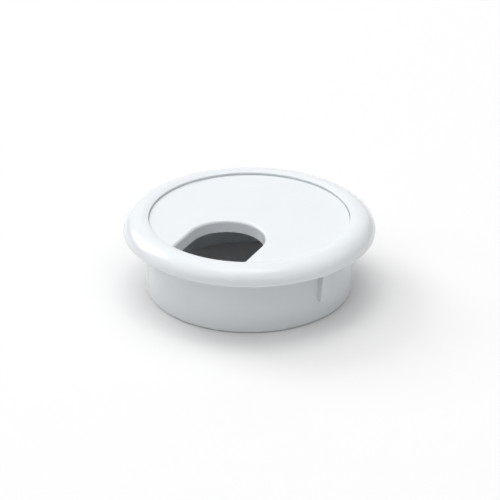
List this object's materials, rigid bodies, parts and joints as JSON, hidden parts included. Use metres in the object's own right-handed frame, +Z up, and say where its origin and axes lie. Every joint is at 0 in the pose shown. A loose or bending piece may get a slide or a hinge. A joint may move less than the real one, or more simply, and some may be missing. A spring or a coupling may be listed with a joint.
{
  "type": "desk cable grommet",
  "caption": "Round desk cable grommet: a flanged liner for a hole in a board, and a turning lid set into the flange with a U-shaped cable notch at its edge.",
  "frame": {"origin": "centre of the barrel's foot, on the surface the grommet stands on", "axes": "+Z up along the barrel's axis; the mouth of the cable notch points along -Y at rest"},
  "size_m": [0.0688, 0.0688, 0.0213],
  "materials": {
    "liner": "fine satin moulded surface, white with a little blue",
    "lid": "fine satin moulded surface, white with a little blue"
  },
  "bodies": {
    "liner": {"liner": "liner"},
    "lid": {"lid": "lid"}
  },
  "joints": [
    {"name": "lid_turn", "type": "hinge", "parent": "liner", "child": "lid", "pos_m": [0, 0, 0.018], "axis": [0, 0, 1], "continuous": true}
  ]
}
